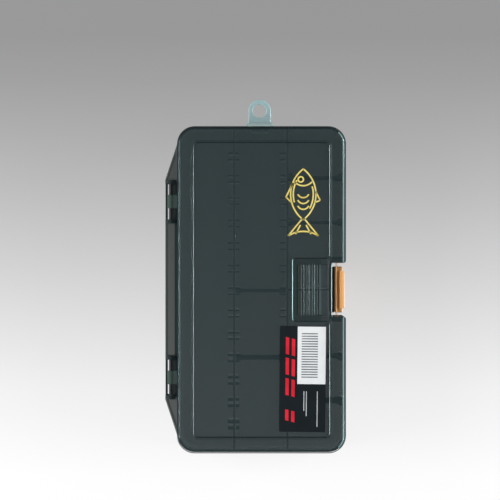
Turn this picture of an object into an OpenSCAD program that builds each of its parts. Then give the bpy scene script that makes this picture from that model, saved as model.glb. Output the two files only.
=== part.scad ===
// Flat pocket case for small tackle: a compartment tray with a hinged lid,
// a snap latch, removable dividers and a clear hanging tab. Millimetres.
// +X runs along the case to the tab end, +Y to the hinges, +Z up. The origin
// is the middle of the case's footprint, hinge shelf included, on its underside.

/* [Case] */
// Length of the lid and tray, without the hanging tab
case_l = 186; // [184:1:240]
// Width of the lid and tray, without the hinge shelf
shell_w = 96; // [92:1:120]
// Height of the closed case
case_h = 34; // [32:0.5:50]
// Height of the lid, down to the tray's rim
lid_h = 10; // [9:0.5:14]
// Radius of the case's corners, seen from above
corner_r = 10; // [5:0.5:12]
// Rounding of the case's top and bottom edges
edge_r = 2.5; // [1:0.25:3]
// Thickness of the side walls
wall_t = 1.6; // [1.2:0.1:2]
// Thickness of the floor and of the lid's roof
floor_t = 1.6; // [1.2:0.1:2]

/* [Lid] */
// Gap between the tray's rim and the lid
part_gap = 0.2; // [0.1:0.05:0.4]
// Thickness of the lip that stands on the tray's rim
lip_t = 0.7; // [0.6:0.05:0.8]
// Height of that lip
lip_h = 1.5; // [1:0.1:2]
// Clearance between the lip and the lid
lip_clear = 0.2; // [0.1:0.05:0.25]
// Distance from the case's edge to the sunk panel in the roof
panel_inset = 9.6; // [6:0.1:12]
// Depth of the sunk panel
panel_depth = 0.8; // [0.4:0.1:1.2]
// Radius of the sunk panel's corners
panel_r = 2.2; // [1:0.1:4]

/* [Thumb pad] */
// Width of the ribbed pad behind the latch
pad_w = 28.6; // [24:0.2:29]
// Width of the raised frame beside the pad
pad_frame = 3.9; // [2:0.1:6]
// Width of the raised frame behind the pad
pad_frame_back = 2.6; // [1:0.1:5]
// Radius of the frame's corners, and of its fillets at the panel's front edge
pad_frame_r = 2; // [0.5:0.1:2.2]
// Depth of the pad below the roof at its back edge
pad_drop_back = 0.8; // [0.6:0.1:1.2]
// Depth of the pad where its ramp starts
pad_drop_mid = 1.5; // [1.2:0.1:1.8]
// Depth of the pad at the notch
pad_drop_front = 3.2; // [2.4:0.1:3.6]
// Length of the ramp between the ridges and the notch
ramp_l = 7.35; // [5:0.1:10]
// Number of finger ridges
ridge_count = 4; // [2:1:5]
// Width of one ridge
ridge_w = 2.28; // [1.8:0.1:2.6]
// Width of the grooves beside the ridges
groove_w = 0.75; // [0.5:0.05:1]
// Depth of the grooves
groove_d = 0.5; // [0.3:0.05:0.6]

/* [Front notch] */
// Width of the notch that holds the latch
notch_w = 30.5; // [29.4:0.1:34]
// Depth of the notch
notch_d = 7.85; // [7.4:0.05:9]
// Rounding of the notch's outer corners
notch_r = 1.5; // [0.5:0.1:1.5]

/* [Latch] */
// Width of the latch plate
latch_w = 26; // [22:0.5:28]
// Width of the pull lip
pull_w = 21.3; // [16:0.1:22]
// Distance from the front of the case to the pivot
pivot_in = 4.2; // [4:0.1:4.4]
// Height of the pivot
pivot_h = 4.5; // [4:0.1:6]
// Radius of the latch's barrel
barrel_r = 2.5; // [2.2:0.1:2.8]
// Radius of the trunnions that the latch turns on
trunnion_r = 1; // [1:0.05:1.4]
// Reach of each trunnion into the tray
trunnion_in = 1.5; // [1:0.1:1.6]
// Clearance at the end of each trunnion
trunnion_end = 0.3; // [0.1:0.1:0.5]
// Wall round each trunnion hole
cheek_wall = 2; // [1.4:0.1:2.4]
// Distance from the front of the case to the strap
strap_in = 1.9; // [1.8:0.1:2.4]
// Thickness of the strap
strap_t = 1.5; // [1.2:0.1:1.6]
// Thickness of the nose
nose_h = 1.1; // [0.9:0.1:1.4]
// Width of the ridge along the nose's tip
ridge_tip_w = 1.1; // [0.9:0.1:1.3]
// Height of that ridge
ridge_tip_h = 1; // [0.6:0.1:1.4]
// Distance from the front of the case to the pull lip's tip
pull_in = 0.75; // [0.3:0.05:1.2]
// Radius of the pull lip's tip
pull_r = 0.6; // [0.4:0.05:0.7]
// Height of the pull lip above the nose's underside
pull_h = 2.5; // [2:0.1:3]
// Height of the keeper rib above the tray's rim
keeper_rise = 2; // [1:0.1:2.4]
// Height of the keeper rib
keeper_h = 1.6; // [1.2:0.1:1.8]
// Reach of the keeper rib out of the lid
keeper_reach = 1.55; // [1:0.05:1.7]
// Clearance between the nose and the keeper rib
nose_clear = 0.15; // [0.1:0.05:0.2]

/* [Hinges] */
// Depth of the shelf that carries the hinges
shelf_d = 7; // [6.6:0.1:9]
// Length of the shelf's outer face past the outer ears
shelf_past = 0.3; // [0:0.1:1]
// Length of each slanted end of the shelf
slant_l = 21; // [8:0.5:22]
// Thickness of the shelf
shelf_t = 1.6; // [1.2:0.1:2]
// Height of the skirt round the shelf
skirt_h = 12; // [8:0.5:16]
// Thickness of the skirt
skirt_t = 1; // [0.8:0.1:1.4]
// Distance between the two hinges
hinge_span = 100.6; // [60:0.2:101]
// Length of the gap that each knuckle sits in
hinge_l = 20.4; // [16:0.2:21]
// Thickness of the ears that hold each pin
ear_t = 2.2; // [1.6:0.1:2.4]
// Radius of the ears round the pin
ear_r = 2.6; // [2.2:0.1:2.8]
// Radius of the hinge pins
pin_r = 1.2; // [1:0.05:1.3]
// Length of the lid's knuckles
knuckle_l = 7.7; // [5:0.1:12]
// Radius of the lid's knuckles
knuckle_r = 2.1; // [2:0.05:2.3]
// Thickness of the arms that join the knuckles to the lid
arm_t = 1.6; // [1:0.1:2]
// Gap between the opened lid and the shelf's outer face
open_gap = 0.4; // [0.2:0.1:0.8]
// Thickness of the web outside each hinge gap
web_t = 1; // [0.6:0.1:1.1]
// Drop from the hinge axis to that web, which clears the open lid
web_drop = 2.6; // [2.4:0.1:4]
// Thickness of the ledge under each knuckle, level with the web's top
ledge_t = 1.6; // [1.2:0.1:2]
// Width of the slit between that ledge and the web
ledge_slit = 1; // [0.8:0.1:1.4]
// Clearance round the pins and trunnions
run_clear = 0.05; // [0.02:0.01:0.08]

/* [Compartments] */
// Thickness of the fixed partitions
part_t = 1.2; // [0.8:0.1:1.6]
// Inside width of the rear column
rear_col_w = 30.3; // [24:0.1:34]
// Inside width of the front column
front_col_w = 31.1; // [28:0.1:34]
// Thickness of the short cross wall behind the notch
cross_t = 1; // [0.8:0.1:1.6]
// Headroom between the partitions and the lid
headroom = 2.8; // [2.4:0.1:5]
// Setback of what stands above the rim, to clear the lid
rim_step = 1; // [0.8:0.1:2]

/* [Divider slots] */
// Distance between neighbouring slots
slot_pitch = 12.8; // [10:0.1:14]
// Slots on each side of the middle one
slot_side = 6; // [5:1:6]
// Offset along the case of the rear and middle columns' slots
slot_shift = -0.8; // [-1.2:0.1:1.2]
// Width of a slot, between its two ribs
slot_w = 2.7; // [2.2:0.1:3.2]
// Thickness of a rib
rib_t = 0.9; // [0.6:0.1:1.2]
// Reach of the ribs into the rear column
rib_rear = 3.1; // [2:0.1:4]
// Reach of the rear partition's ribs into the middle column
rib_middle = 2.3; // [1.5:0.1:4]
// Reach of the front partition's ribs into the middle column
rib_front = 3.5; // [2:0.1:4]
// Reach of the ribs in the front column
rib_column = 2; // [1.5:0.1:3]
// Drop of the ribs' tops below the partitions' tops
rib_drop = 0.8; // [0.4:0.1:2]

/* [Dividers] */
// Clearance on each face of a divider in its slot
divider_clear = 0.25; // [0.1:0.05:0.3]
// Thickness of a divider's web
divider_t = 1.4; // [1:0.1:1.6]
// Gap at each end of a divider
divider_gap = 0.3; // [0.2:0.05:0.5]

/* [Hanging tab] */
// Width of the tab and of its ring
tab_w = 12.6; // [12:0.1:15]
// Radius of the hole
tab_hole_r = 3.85; // [3:0.05:4.2]
// Distance from the case's end to the hole's centre
tab_reach = 9.6; // [9:0.1:14]
// Thickness of the tab
tab_t = 2; // [1.6:0.1:2.6]
// Height of the tab's middle above the underside
tab_h = 17; // [10:0.5:18]
// Offset of the tab from the middle of the lid and tray
tab_off = 1; // [-4:0.5:4]
// Width of the tab's foot plate
foot_w = 16.8; // [16:0.1:20]
// Height of the foot plate
foot_h = 6; // [4:0.1:8]
// Thickness of the foot plate
foot_t = 1.1; // [0.8:0.1:1.6]
// Width of the tongue behind the foot plate
tongue_w = 10.2; // [8:0.1:11]
// Length of the tongue
tongue_l = 3.2; // [2.4:0.1:4]
// Clearance round the tongue
tongue_clear = 0.2; // [0.1:0.05:0.3]
// Length of the gussets between the foot plate and the tab
gusset_l = 2.5; // [1.5:0.1:4]
// Width of the groove across the tab's neck
neck_w = 1.1; // [0.6:0.1:1.4]
// Depth of that groove, on both faces
neck_d = 0.4; // [0.2:0.05:0.5]
// Distance from the foot plate to the groove
neck_gap = 0.6; // [0.4:0.1:1]

/* [Label] */
// Width of the label
label_w = 26.2; // [16:0.1:27]
// Thickness of the label
label_t = 0.15; // [0.1:0.05:0.25]
// Gap between the label and the pad's frame
label_gap = 2.4; // [1:0.1:3]
// Gap between the label and the panel's front edge
label_edge = 2; // [1:0.1:3]
// Gap between the label and the panel's left end
label_end = 2.7; // [1:0.1:20]

/* [Hidden] */
$fn = 64;

smoke = [0.22, 0.26, 0.27];
amber = [0.87, 0.62, 0.38];
clear = [0.72, 0.84, 0.85];
dark = [0.12, 0.13, 0.14];
sink = 0.4;      // how far a joined piece reaches into its neighbour
past = 1;        // how far a cut runs past the surface it opens

// Outline of the case
case_w = shell_w + shelf_d;
front_y = -case_w / 2;
back_y = case_w / 2;
rear_y = back_y - shelf_d;
shell_y = (front_y + rear_y) / 2;
inner_x = case_l / 2 - wall_t;
inner_front_y = front_y + wall_t;
inner_rear_y = rear_y - wall_t;
notch_y = front_y + notch_d;

// Heights
base_h = case_h - lid_h;
lid_z = base_h + part_gap;
panel_z = case_h - panel_depth;
roof_z = panel_z - floor_t;
rim_roof_z = case_h - floor_t;
part_top = roof_z - headroom;

// Thumb pad: back edge, start of the ramp and notch edge, each with its height
ridge_pitch = ridge_w + groove_w;
ridge_r = (pow(ridge_w / 2, 2) + pow(groove_d, 2)) / (2 * groove_d);
ramp_y = notch_y + ramp_l;
pad_back_y = ramp_y + ridge_count * ridge_pitch + groove_w;
pad_back_z = case_h - pad_drop_back;
ramp_z = case_h - pad_drop_mid;
pad_front_z = case_h - pad_drop_front;
ridge_slope = (pad_back_z - ramp_z) / (pad_back_y - ramp_y);
frame_x = pad_w / 2 + pad_frame;
frame_y = pad_back_y + pad_frame_back;

// Latch
pivot_y = front_y + pivot_in;
pivot_z = pivot_h;
strap_y = front_y + strap_in;
strap_in_y = strap_y + strap_t;
keeper_z = base_h + keeper_rise;
keeper_tip_y = notch_y - keeper_reach;
nose_tip_y = keeper_tip_y - nose_clear;
nose_z = keeper_z + keeper_h + nose_clear;
nose_top = nose_z + nose_h;
ridge_top = nose_top + ridge_tip_h;
hole_depth = trunnion_in + trunnion_end;
cheek_t = hole_depth;
cheek_r = trunnion_r + cheek_wall;

// Hinges
axis_y = (rear_y + back_y + open_gap) / 2;   // midway, so that the lid swings right over
axis_z = base_h;
hinge_x = hinge_span / 2;
shelf_l = hinge_span + hinge_l + 2 * (ear_t + shelf_past);
bore_r = pin_r + run_clear;

// Compartments
rear_part_y = inner_rear_y - rear_col_w - part_t / 2;
front_part_y = inner_front_y + front_col_w + part_t / 2;
rear_face_y = rear_part_y - part_t / 2;
front_face_y = front_part_y + part_t / 2;
column_y = front_part_y - part_t / 2;
front_slots = [-5, -3, 3, 5];
middle_slots = [-3, 0];
bead_t = slot_w - 2 * divider_clear;

// Hanging tab
tab_y = shell_y + tab_off;
tab_x = case_l / 2;
tab_foot_x = tab_x + foot_t;
tab_hole_x = tab_x + tab_reach;

// Label, from the pad's frame to the left end of the panel
label_x = frame_x + label_gap;
label_l = case_l / 2 - panel_inset - label_end - label_x;

// ---- shared shapes ----

module rounded_rect(l, w, r) {
    square([l - 2 * r, w], center = true);
    square([l, w - 2 * r], center = true);
    for (sx = [-1, 1], sy = [-1, 1])
        translate([sx * (l / 2 - r), sy * (w / 2 - r)]) circle(r);
}

// Half of a section through a block, with its upper edge rounded by e
module half_section(half, h, e) {
    square([half - e, h]);
    square([half, h - e]);
    translate([half - e, h - e]) circle(e);
}

module section(half, h, e) {
    half_section(half, h, e);
    mirror([1, 0]) half_section(half, h, e);
}

// Block with round corners of radius r and an upper edge rounded by e
module soft_block(l, w, h, r, e) {
    for (sx = [-1, 1], sy = [-1, 1])
        translate([sx * (l / 2 - r), sy * (w / 2 - r), 0])
            rotate_extrude() intersection() {
                half_section(r, h, e);
                square([r, h]);
            }
    rotate([90, 0, 90]) linear_extrude(l - 2 * r, center = true) section(w / 2, h, e);
    rotate([90, 0, 0]) linear_extrude(w - 2 * r, center = true) section(l / 2, h, e);
}

// Extrudes a section drawn in Y and Z along X, centred
module along_x(l) {
    rotate([90, 0, 90]) linear_extrude(l, center = true) children();
}

// The hollow inside the walls, inset from the outline of the case
module hollow_plan(inset) {
    difference() {
        translate([0, shell_y])
            rounded_rect(case_l - 2 * inset, shell_w - 2 * inset, corner_r - inset);
        translate([-notch_w / 2 - inset, front_y - past])
            square([notch_w + 2 * inset, notch_d + inset + past]);
    }
}

// The notch in the front of the case, with its outer corners rounded
module notch_plan() {
    translate([-notch_w / 2, front_y - past]) square([notch_w, notch_d + past]);
    for (s = [-1, 1])
        translate([s * (notch_w / 2 + notch_r), front_y])
            difference() {
                translate([-notch_r, -past]) square([2 * notch_r, notch_r + past]);
                translate([0, notch_r]) circle(notch_r);
                translate([s > 0 ? 0 : -notch_r, -past]) square([notch_r, notch_r + past]);
            }
}

// ---- tray ----

module tray_shell() {
    difference() {
        translate([0, shell_y, base_h])
            mirror([0, 0, 1]) soft_block(case_l, shell_w, base_h, corner_r, edge_r);
        translate([0, 0, floor_t]) linear_extrude(base_h) hollow_plan(wall_t);
    }
    translate([0, 0, base_h - sink]) linear_extrude(lip_h + sink)
        difference() {
            hollow_plan(wall_t - lip_t);
            hollow_plan(wall_t);
        }
}

// Pairs of ribs along a wall face at y, reaching by depth towards side
module rib_row(slots, shift, y, side, depth) {
    for (i = slots, s = [-1, 1])
        translate([shift + i * slot_pitch + s * (slot_w + rib_t) / 2,
                   y + side * (depth - sink) / 2])
            square([rib_t, depth + sink], center = true);
}

module rib_plan() {
    all_slots = [-slot_side : slot_side];
    rib_row(all_slots, slot_shift, rear_part_y + part_t / 2, 1, rib_rear);
    rib_row(all_slots, slot_shift, rear_face_y, -1, rib_middle);
    rib_row(all_slots, slot_shift, front_face_y, 1, rib_front);
    rib_row(front_slots, 0, column_y, -1, rib_column);
}

module partitions() {
    h = part_top - floor_t + sink;
    translate([0, 0, floor_t - sink]) {
        for (y = [rear_part_y, front_part_y]) {
            translate([-inner_x - sink, y - part_t / 2, 0])
                cube([2 * (inner_x + sink), part_t, base_h - floor_t + sink]);
            translate([-inner_x + rim_step, y - part_t / 2, 0])
                cube([2 * (inner_x - rim_step), part_t, h]);
        }
        linear_extrude(h - rib_drop) rib_plan();
        linear_extrude(base_h - floor_t) rib_row(front_slots, 0, inner_front_y, 1, rib_column);
    }
}

// Short cross wall between the front partition and the wall behind the notch
module cross_wall() {
    y0 = notch_y + wall_t;
    l = column_y - y0;
    translate([-cross_t / 2, y0 - sink, floor_t - sink])
        cube([cross_t, l + 2 * sink, base_h - floor_t + sink]);
    translate([-cross_t / 2, y0 + rim_step, floor_t - sink])
        cube([cross_t, l - rim_step + sink, part_top - floor_t + sink]);
}

// Thickened corners of the tray that carry the latch's trunnions
module latch_cheeks() {
    for (s = [-1, 1])
        translate([s * (notch_w / 2 + wall_t + cheek_t / 2 - sink / 2), 0, 0])
            along_x(cheek_t + sink)
                translate([inner_front_y - sink, floor_t - sink])
                    square([pivot_y + cheek_r - inner_front_y + sink, pivot_z + cheek_r - floor_t + sink]);
}

module trunnion_holes() {
    for (s = [-1, 1])
        translate([s * notch_w / 2, pivot_y, pivot_z])
            rotate([0, 90, 0])
                cylinder(h = 2 * hole_depth, r = trunnion_r + run_clear, center = true);
}

// Plan of the hinge shelf, with its three free sides moved in by t
module shelf_plan(t) {
    root_x = shelf_l / 2 + slant_l - t * norm([slant_l, shelf_d]) / shelf_d;
    tip_x = root_x - slant_l * (shelf_d - t) / shelf_d;
    polygon([[-root_x, rear_y - sink], [root_x, rear_y - sink], [root_x, rear_y],
             [tip_x, back_y - t], [-tip_x, back_y - t], [-root_x, rear_y]]);
}

module shelf() {
    difference() {
        translate([0, 0, base_h - skirt_h]) linear_extrude(skirt_h) shelf_plan(0);
        translate([0, 0, base_h - skirt_h - past])
            linear_extrude(skirt_h - shelf_t + past)
                intersection() {
                    shelf_plan(skirt_t);
                    translate([-case_l / 2, rear_y]) square([case_l, shelf_d]);
                }
        for (s = [-1, 1]) translate([s * hinge_x, 0, 0]) {
            translate([-hinge_l / 2, rear_y, base_h - skirt_h - past])
                cube([hinge_l, shelf_d - web_t, skirt_h + 2 * past]);
            translate([-hinge_l / 2, rear_y, base_h - web_drop])
                cube([hinge_l, shelf_d + past, web_drop + past]);
        }
    }
}

// One ear of a hinge: a wall across the shelf with a round boss on the axis
module ear() {
    along_x(ear_t) {
        translate([rear_y - sink, base_h - skirt_h]) square([shelf_d + sink, skirt_h]);
        translate([axis_y, axis_z]) circle(ear_r);
    }
}

module ears() {
    for (s = [-1, 1], e = [-1, 1])
        translate([s * hinge_x + e * (hinge_l + ear_t) / 2, 0, 0]) ear();
}

// Ledge between two ears, which closes the gap under the knuckle but for a slit
module hinge_ledges() {
    depth = shelf_d - web_t - ledge_slit;
    for (s = [-1, 1])
        translate([s * hinge_x - hinge_l / 2 - sink, rear_y - sink, base_h - web_drop - ledge_t])
            cube([hinge_l + 2 * sink, depth + sink, ledge_t]);
}

module pin_bores() {
    for (s = [-1, 1])
        translate([s * hinge_x, axis_y, axis_z]) rotate([0, 90, 0])
            cylinder(h = hinge_l + 2 * ear_t, r = bore_r, center = true);
}

module tongue_slot() {
    translate([tab_x - wall_t / 2, tab_y, tab_h])
        cube([wall_t + 2 * sink, tongue_w + 2 * tongue_clear, tab_t + 2 * tongue_clear],
             center = true);
}

module base_tray() {
    color(smoke) difference() {
        union() {
            tray_shell();
            partitions();
            cross_wall();
            latch_cheeks();
            shelf();
            ears();
            hinge_ledges();
        }
        translate([0, 0, -past]) linear_extrude(case_h) notch_plan();
        trunnion_holes();
        pin_bores();
        tongue_slot();
    }
}

// ---- lid ----

// Plan of the sunk panel, grown outwards by grow
module panel_plan(grow) {
    inset = 2 * (panel_inset - grow);
    translate([0, shell_y]) rounded_rect(case_l - inset, shell_w - inset, panel_r + grow);
}

// Plan of the raised frame round the pad, rounded at its back corners and
// where it meets the panel's front edge
module frame_plan() {
    panel_y = front_y + panel_inset;
    translate([0, (front_y + frame_y) / 2])
        rounded_rect(2 * frame_x, frame_y - front_y, pad_frame_r);
    for (s = [-1, 1])
        difference() {
            translate([s * frame_x - (s > 0 ? sink : pad_frame_r), panel_y - sink])
                square(pad_frame_r + sink);
            translate([s * (frame_x + pad_frame_r), panel_y + pad_frame_r]) circle(pad_frame_r);
        }
}

// Line of the thumb pad's surface from back to front, lowered by d
function pad_line(d) = [[pad_back_y, pad_back_z - d], [ramp_y, ramp_z - d],
                        [notch_y, pad_front_z - d]];

// Solid under the thumb pad, which the roof alone is too thin for
module pad_underlay() {
    top = rim_roof_z + sink;
    along_x(pad_w + 2 * wall_t)
        polygon(concat(pad_line(floor_t), [[notch_y, top], [pad_back_y, top]]));
}

module pad_hollow() {
    along_x(pad_w) {
        polygon(concat(pad_line(0), [[notch_y - past, pad_front_z], [notch_y - past, case_h + past],
                                     [pad_back_y, case_h + past]]));
        polygon([[pad_back_y, pad_back_z - groove_d], [ramp_y, ramp_z - groove_d],
                 [ramp_y, case_h], [pad_back_y, case_h]]);
    }
}

module finger_ridges() {
    for (i = [1 : ridge_count]) {
        y = pad_back_y - i * ridge_pitch + ridge_w / 2;
        z = pad_back_z - (pad_back_y - y) * ridge_slope;
        along_x(pad_w + 2 * sink)
            translate([y, z]) intersection() {
                translate([0, -ridge_r]) circle(ridge_r);
                translate([-ridge_w / 2, -groove_d - sink]) square([ridge_w, groove_d + sink]);
            }
    }
}

module lid_shell() {
    difference() {
        translate([0, shell_y, lid_z])
            soft_block(case_l, shell_w, case_h - lid_z, corner_r, edge_r);
        translate([0, 0, lid_z - past]) {
            linear_extrude(roof_z - lid_z + past) hollow_plan(wall_t);
            linear_extrude(rim_roof_z - lid_z + past) difference() {
                hollow_plan(wall_t);
                panel_plan(wall_t);
                translate([-frame_x, front_y]) square([2 * frame_x, notch_d + panel_inset]);
            }
            linear_extrude(lip_h + lip_clear + past) hollow_plan(wall_t - lip_t - lip_clear);
        }
        translate([0, 0, panel_z]) linear_extrude(panel_depth + past) difference() {
            panel_plan(0);
            frame_plan();
        }
    }
}

// Rib across the back of the notch, which the latch's nose hooks over
module keeper() {
    translate([-latch_w / 2, keeper_tip_y, keeper_z])
        cube([latch_w, keeper_reach + sink, keeper_h]);
}

// Knuckle on the hinge axis and the arm that joins it to the lid's rear wall
module knuckle() {
    along_x(knuckle_l) {
        translate([axis_y, axis_z]) circle(knuckle_r);
        translate([rear_y - sink, lid_z]) square([axis_y - rear_y + sink, arm_t]);
    }
}

module lid() {
    color(smoke) difference() {
        union() {
            difference() {
                union() {
                    lid_shell();
                    pad_underlay();
                }
                pad_hollow();
                translate([0, 0, -past]) linear_extrude(case_h + 2 * past) notch_plan();
            }
            finger_ridges();
            keeper();
            for (s = [-1, 1]) translate([s * hinge_x, 0, 0]) knuckle();
        }
        for (s = [-1, 1])
            translate([s * hinge_x, axis_y, axis_z]) rotate([0, 90, 0])
                cylinder(h = knuckle_l + 2 * past, r = bore_r, center = true);
    }
}

// ---- latch ----

// Strap with its barrel at the bottom and its hooked nose at the top
module latch_section() {
    ridge_y = nose_tip_y - ridge_tip_w;
    translate([pivot_y, pivot_z]) circle(barrel_r);
    translate([strap_y, pivot_z]) square([strap_t, nose_top - pivot_z]);
    polygon([[strap_in_y - sink, nose_z], [nose_tip_y, nose_z], [nose_tip_y, nose_top],
             [nose_tip_y - ridge_tip_w / 2, ridge_top], [ridge_y, ridge_top],
             [ridge_y, nose_top], [strap_in_y - sink, nose_top]]);
}

// Lip at the strap's top that a finger pulls on
module pull_section() {
    tip = [front_y + pull_in + pull_r, nose_z + pull_h - 2 * pull_r];
    top = nose_z + pull_h;
    root_z = nose_z - pull_r;
    translate(tip) circle(pull_r);
    polygon([[strap_y + sink, root_z], tip - [pull_r * cos(45), pull_r * sin(45)],
             tip + [0, pull_r], [(strap_y + strap_in_y) / 2, top], [strap_in_y, top],
             [strap_in_y, root_z]]);
}

module latch() {
    color(amber) {
        along_x(latch_w) latch_section();
        along_x(pull_w) pull_section();
        translate([0, pivot_y, pivot_z]) rotate([0, 90, 0])
            cylinder(h = notch_w + 2 * trunnion_in, r = trunnion_r, center = true);
    }
}

// ---- small pieces ----

module hinge_pin(x) {
    color(dark) translate([x, axis_y, axis_z]) rotate([0, 90, 0])
        cylinder(h = hinge_l + 2 * ear_t, r = pin_r, center = true);
}

// Removable divider at x between two faces; front_step sets back its upper front corner
module divider(x, y0, y1, front_step) {
    low = y0 + divider_gap;
    high = y1 - divider_gap;
    bead_l = rib_front;
    color(smoke) translate([x, 0, floor_t]) difference() {
        linear_extrude(part_top - floor_t) {
            translate([-divider_t / 2, low]) square([divider_t, high - low]);
            for (y = [low, high - bead_l])
                translate([-bead_t / 2, y]) square([bead_t, bead_l]);
        }
        if (front_step > 0)
            translate([-bead_t, low - past, base_h - floor_t])
                cube([2 * bead_t, past + front_step, case_h]);
    }
}

module middle_divider(i) {
    divider(slot_shift + middle_slots[i] * slot_pitch, front_face_y, rear_face_y, 0);
}

module front_divider(i) {
    divider(front_slots[i] * slot_pitch, inner_front_y, column_y, rim_step);
}

// Plan of the tab outside the case: gussets, neck and ring
module tab_plan() {
    difference() {
        union() {
            translate([tab_foot_x - sink, -tab_w / 2])
                square([tab_hole_x - tab_foot_x + sink, tab_w]);
            translate([tab_hole_x, 0]) circle(tab_w / 2);
            for (s = [-1, 1])
                polygon([[tab_foot_x - sink, 0], [tab_foot_x - sink, s * foot_w / 2],
                         [tab_foot_x, s * foot_w / 2], [tab_foot_x + gusset_l, s * tab_w / 2],
                         [tab_foot_x + gusset_l, 0]]);
        }
        translate([tab_hole_x, 0]) circle(tab_hole_r);
    }
}

module hang_tab() {
    color(clear) translate([0, tab_y, tab_h]) {
        difference() {
            linear_extrude(tab_t, center = true) tab_plan();
            for (s = [-1, 1])
                translate([tab_foot_x + neck_gap + neck_w / 2, 0, s * tab_t / 2])
                    cube([neck_w, foot_w + past, 2 * neck_d], center = true);
        }
        translate([tab_x, -foot_w / 2, -foot_h / 2]) cube([foot_t, foot_w, foot_h]);
        translate([tab_x - tongue_l, -tongue_w / 2, -tab_t / 2])
            cube([tongue_l + sink, tongue_w, tab_t]);
    }
}

module label() {
    color(dark)
        translate([-label_x - label_l, front_y + panel_inset + label_edge, panel_z])
            cube([label_l, label_w, label_t]);
}

base_tray();
lid();
latch();
hang_tab();
hinge_pin(-hinge_x);  // hinge_pin_left
hinge_pin(hinge_x);  // hinge_pin_right
middle_divider(0);  // divider_middle_1
middle_divider(1);  // divider_middle_2
front_divider(0);  // divider_front_1
front_divider(1);  // divider_front_2
front_divider(2);  // divider_front_3
front_divider(3);  // divider_front_4
label();
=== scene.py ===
"""Looks of a pocket tackle case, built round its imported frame.

Lengths are in metres where nothing else is said. +X runs to the hanging tab, +Y to the
hinges, +Z up. The camera looks straight down, with +X at the top of the picture.
"""

import bpy
import bmesh
import math
from mathutils import Matrix, Vector
from mathutils.bvhtree import BVHTree
from mathutils.geometry import area_tri


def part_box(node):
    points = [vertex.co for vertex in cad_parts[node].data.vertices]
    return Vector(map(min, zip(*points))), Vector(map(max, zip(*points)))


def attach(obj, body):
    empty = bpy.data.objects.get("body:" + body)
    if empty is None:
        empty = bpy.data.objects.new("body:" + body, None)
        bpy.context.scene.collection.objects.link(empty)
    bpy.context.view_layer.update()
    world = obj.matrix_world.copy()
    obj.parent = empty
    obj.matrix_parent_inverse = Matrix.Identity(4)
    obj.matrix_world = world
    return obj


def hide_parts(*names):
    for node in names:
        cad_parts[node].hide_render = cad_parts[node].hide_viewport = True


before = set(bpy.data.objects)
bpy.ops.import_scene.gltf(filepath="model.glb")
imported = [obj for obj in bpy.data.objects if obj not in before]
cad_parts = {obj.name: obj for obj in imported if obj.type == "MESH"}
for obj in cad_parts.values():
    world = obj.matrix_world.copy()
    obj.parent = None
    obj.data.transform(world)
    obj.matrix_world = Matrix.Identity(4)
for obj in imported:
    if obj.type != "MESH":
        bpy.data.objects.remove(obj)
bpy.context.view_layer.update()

MM = 0.001

# How close points merge, lie on a cut, and count as on a line or a level
MERGED = 0.001 * MM
ON_CUT = 0.0001 * MM
TOUCHING = 0.01 * MM
NEAR = 0.1 * MM
FAIRLY_NEAR = 0.2 * MM

# Faces and edges are sorted by the limits below, some of which lie a little past the part.
# Heights: the compartments' floors, the lower edge of the shelf's skirt, the line where the
# lid meets the tray, the top of the keeper rib, the lowest part of the thumb pad, the sunk
# panel and the roof round it
FLOOR_TOP_Z = 1.6 * MM
SKIRT_Z0 = 12.2 * MM
RIM_Z = 24 * MM
KEEPER_Z1 = 28 * MM
PAD_Z0 = 30 * MM
PANEL_Z = 33.2 * MM
ROOF_Z = 34 * MM

# The inside of the tray
INNER_X = 91.5 * MM
INNER_Y0 = -50 * MM
INNER_Y1 = 43.3 * MM

# The hinges' middles, how far one reaches to each side, where the shelf and the knuckles
# start and where the shelf's strip of painted shade beside the lid ends
HINGE_X = 50.3 * MM
HINGE_REACH = 12.4 * MM
SHELF_Y0 = 44.5 * MM
KNUCKLE_Y0 = SHELF_Y0 + 0.5 * MM
SHADE_Y = 46.2 * MM

# The lid's outline, the rounded edge of its roof, the rear of its sunk panel and the height
# up to which its edges count as low
LID_END_X = 93 * MM
LID_HALF_Y = 48 * MM
LID_MIDDLE_Y = -3.5 * MM
CORNER_R = 10 * MM
OUTER_EDGE_R = 2.5 * MM
PANEL_REAR_Y = 34 * MM
LOW_Z = RIM_Z + 0.6 * MM

# The thumb pad: half its width and its frame's, the frame's back edge with the width of its
# painted highlight band to each side, the pad's own back, the width of the shadow there, in
# which the first ridge takes a stronger painted highlight, the front of its ridges, the width
# of the painted highlight line on the ramp before them, and the least area of a groove's floor
PAD_X = 14.3 * MM
FRAME_X = PAD_X + 3 * MM
FRAME_Y = -20.83 * MM
FRAME_BAND = 0.9 * MM
PAD_BACK_Y = -23.43 * MM
PAD_SHADOW = 2.2 * MM
RIDGES_Y0 = -36.3 * MM
RAMP_LINE = 1.1 * MM
GROOVE_AREA = 15 * MM ** 2

# The notch's back with its painted highlight band to each side, half the width of that band,
# of the keeper rib and of the latch between its trunnions, and the latch's nose, from below,
# with its ridge and pull lip
NOTCH_Y = -43.7 * MM
NOTCH_BAND = 0.5 * MM
NOTCH_X = PAD_X + 1 * MM
KEEPER_X = 13.2 * MM
LATCH_X = 13.02 * MM
NOSE_Z0 = PAD_Z0 - 6 * MM
LATCH_RIDGE_Y = -46.7 * MM
LATCH_LIP_Y = -48.1 * MM

# How far from the middles of those two bands the painted highlight on the lid's other edges
# starts
PAST_BAND = 1 * MM

# Where the hanging tab's foot, which takes a painted highlight, ends
TAB_FOOT_X = 94.7 * MM

# Radii of the rounded edges
TRAY_EDGE_R = 0.25 * MM
HIDDEN_EDGE_R = 0.08 * MM
LID_EDGE_R = 0.22 * MM
PANEL_EDGE_R = 0.72 * MM
PAD_BACK_R = 0.15 * MM
NOTCH_EDGE_R = 0.45 * MM
SMALL_EDGE_R = 0.3 * MM
PIN_EDGE_R = 0.25 * MM
DIVIDER_EDGE_R = 0.2 * MM

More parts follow.
